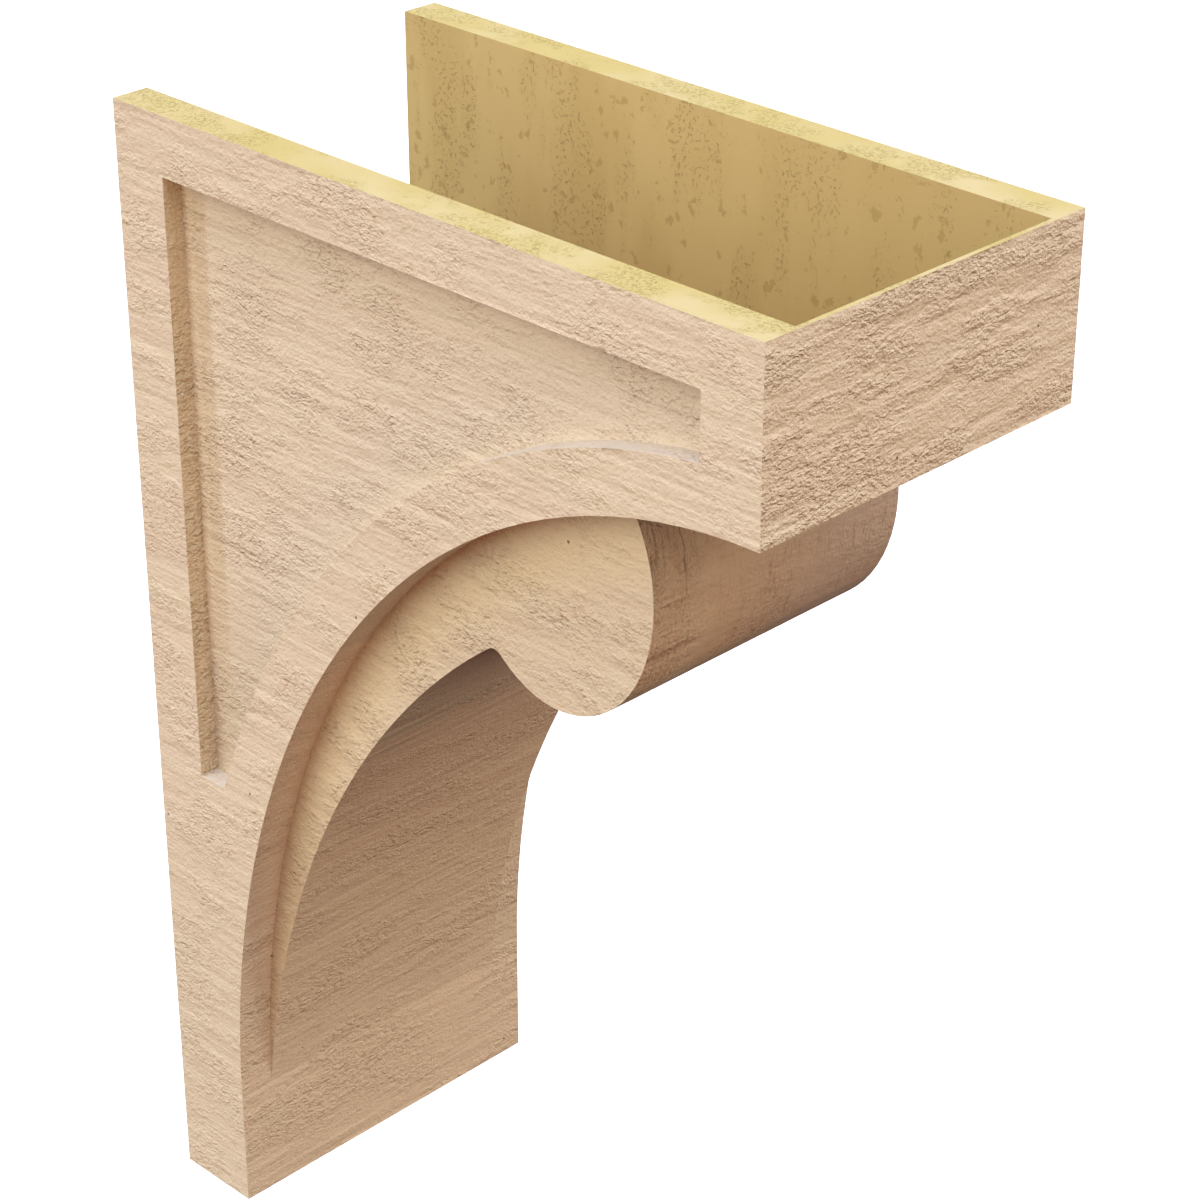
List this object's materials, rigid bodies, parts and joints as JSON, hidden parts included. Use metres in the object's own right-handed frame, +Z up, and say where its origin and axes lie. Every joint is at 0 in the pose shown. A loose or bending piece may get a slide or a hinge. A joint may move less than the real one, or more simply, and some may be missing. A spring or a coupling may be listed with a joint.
{
  "type": "hollow moulded corbel",
  "caption": "Hollow moulded foam corbel with sunk cheek panels, an arched underside and a curved brace ending in a roll, open at the top and back.",
  "frame": {"origin": "middle of the foot block's back face, on the wall plane", "axes": "+Z up, +Y into the wall so that the apron's front faces -Y, +X to the right seen from the front"},
  "size_m": [0.1016, 0.2032, 0.3048],
  "materials": {
    "primed_foam": "matt tan primer over moulded wood grain, raw cream foam inside and on the cut top edges"
  },
  "bodies": {
    "root": {"corbel": "primed_foam"}
  },
  "joints": []
}
